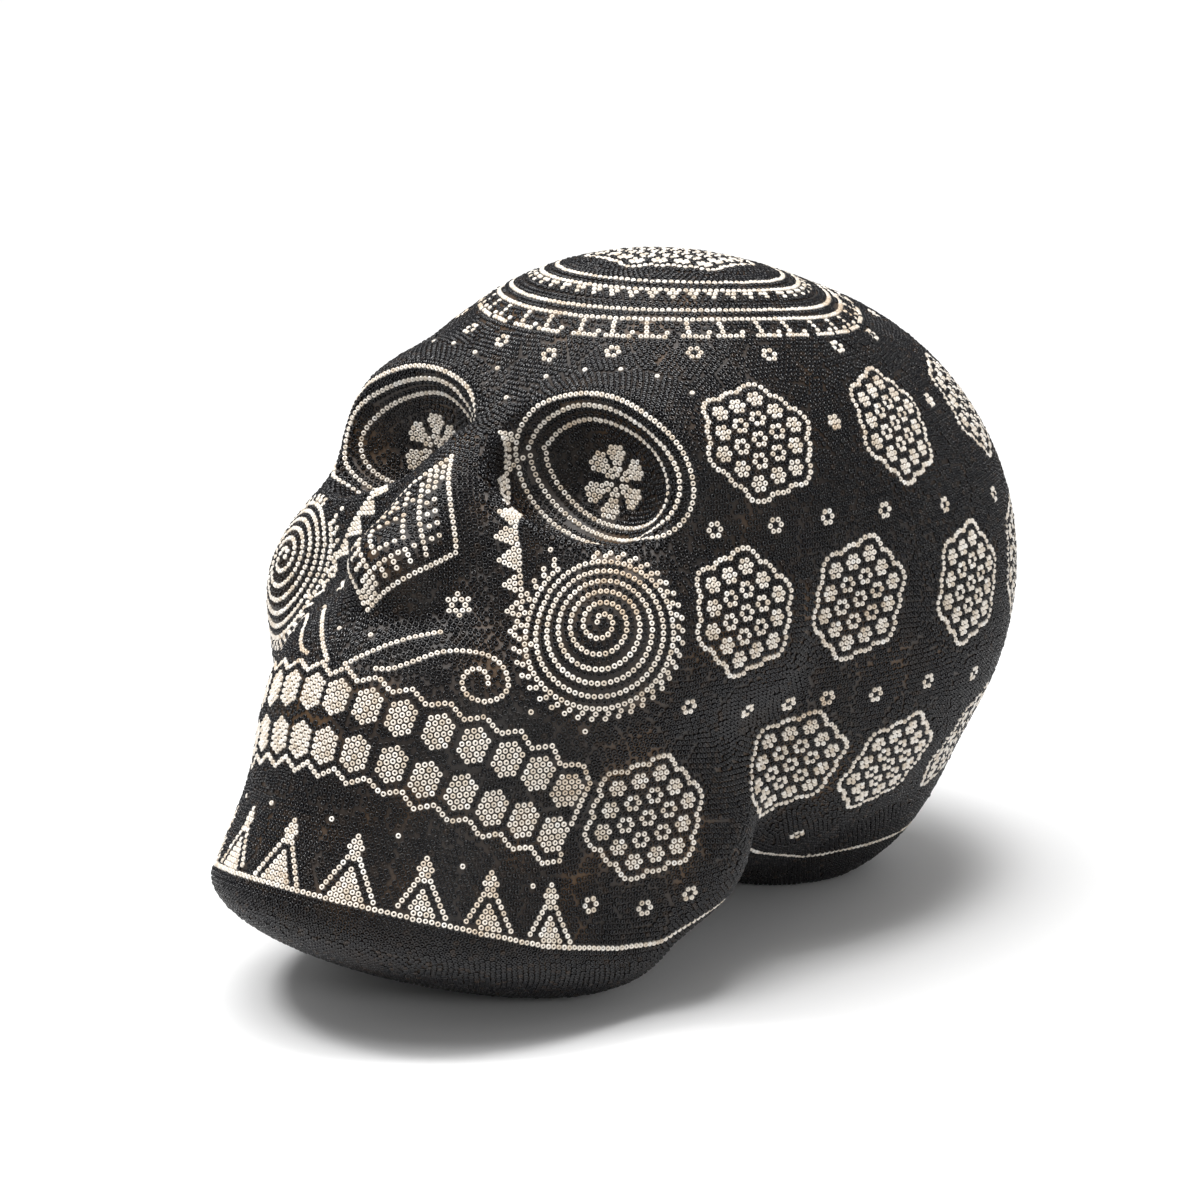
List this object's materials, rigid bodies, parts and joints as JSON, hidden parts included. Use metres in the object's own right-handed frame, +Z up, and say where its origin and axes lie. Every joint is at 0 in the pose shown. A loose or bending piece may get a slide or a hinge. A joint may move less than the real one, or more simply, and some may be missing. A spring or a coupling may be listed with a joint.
{
  "type": "beaded skull",
  "caption": "Hollow skull form with fused jaw, skinned in wax and covered all over with black and ivory glass seed beads set in folk motifs.",
  "frame": {"origin": "centre of the bounding box at the floor the skull rests on", "axes": "+Z up, the face looks toward -Y, +X is the skull's own left"},
  "size_m": [0.2336, 0.3745, 0.2626],
  "materials": {
    "ivory_beads": "opaque ivory glass seed beads, glossy, set in wax",
    "black_beads": "opaque black glass seed beads, glossy, set in wax",
    "beeswax": "brown beeswax and pine resin, soft sheen",
    "cast_resin": "unfinished cast resin, hidden under the wax"
  },
  "bodies": {
    "root": {"cast_form": "cast_resin", "wax_skin": "beeswax", "base_line": "ivory_beads", "nose_diamond": "ivory_beads", "crown_rosette": "ivory_beads", "crown_sawtooth": "ivory_beads", "crown_lines": "ivory_beads", "crown_frets": "ivory_beads", "ribbon_left": "ivory_beads", "eye_flower_left": "ivory_beads", "eye_bowl_left": "black_beads", "eye_rings_left": "ivory_beads", "cheek_spiral_left": "ivory_beads", "moustache_scroll_left": "ivory_beads", "cheek_star_left": "ivory_beads", "teeth_upper_left": "ivory_beads", "teeth_lower_left": "ivory_beads", "jaw_rosette_left": "ivory_beads", "ribbon_right": "ivory_beads", "eye_flower_right": "ivory_beads", "eye_bowl_right": "black_beads", "eye_rings_right": "ivory_beads", "cheek_spiral_right": "ivory_beads", "moustache_scroll_right": "ivory_beads", "cheek_star_right": "ivory_beads", "teeth_upper_right": "ivory_beads", "teeth_lower_right": "ivory_beads", "jaw_rosette_right": "ivory_beads", "rosette_upper_left_1": "ivory_beads", "rosette_upper_left_2": "ivory_beads", "rosette_upper_left_3": "ivory_beads", "rosette_upper_left_4": "ivory_beads", "rosette_middle_left_1": "ivory_beads", "rosette_middle_left_2": "ivory_beads", "rosette_middle_left_3": "ivory_beads", "rosette_middle_left_4": "ivory_beads", "rosette_middle_left_5": "ivory_beads", "rosette_lower_left_1": "ivory_beads", "rosette_lower_left_2": "ivory_beads", "rosette_lower_left_3": "ivory_beads", "rosette_lower_left_4": "ivory_beads", "rosette_upper_right_1": "ivory_beads", "rosette_upper_right_2": "ivory_beads", "rosette_upper_right_3": "ivory_beads", "rosette_upper_right_4": "ivory_beads", "rosette_middle_right_1": "ivory_beads", "rosette_middle_right_2": "ivory_beads", "rosette_middle_right_3": "ivory_beads", "rosette_middle_right_4": "ivory_beads", "rosette_middle_right_5": "ivory_beads", "rosette_lower_right_1": "ivory_beads", "rosette_lower_right_2": "ivory_beads", "rosette_lower_right_3": "ivory_beads", "rosette_lower_right_4": "ivory_beads", "ground_under": "black_beads", "ground_upper": "black_beads"}
  },
  "joints": []
}
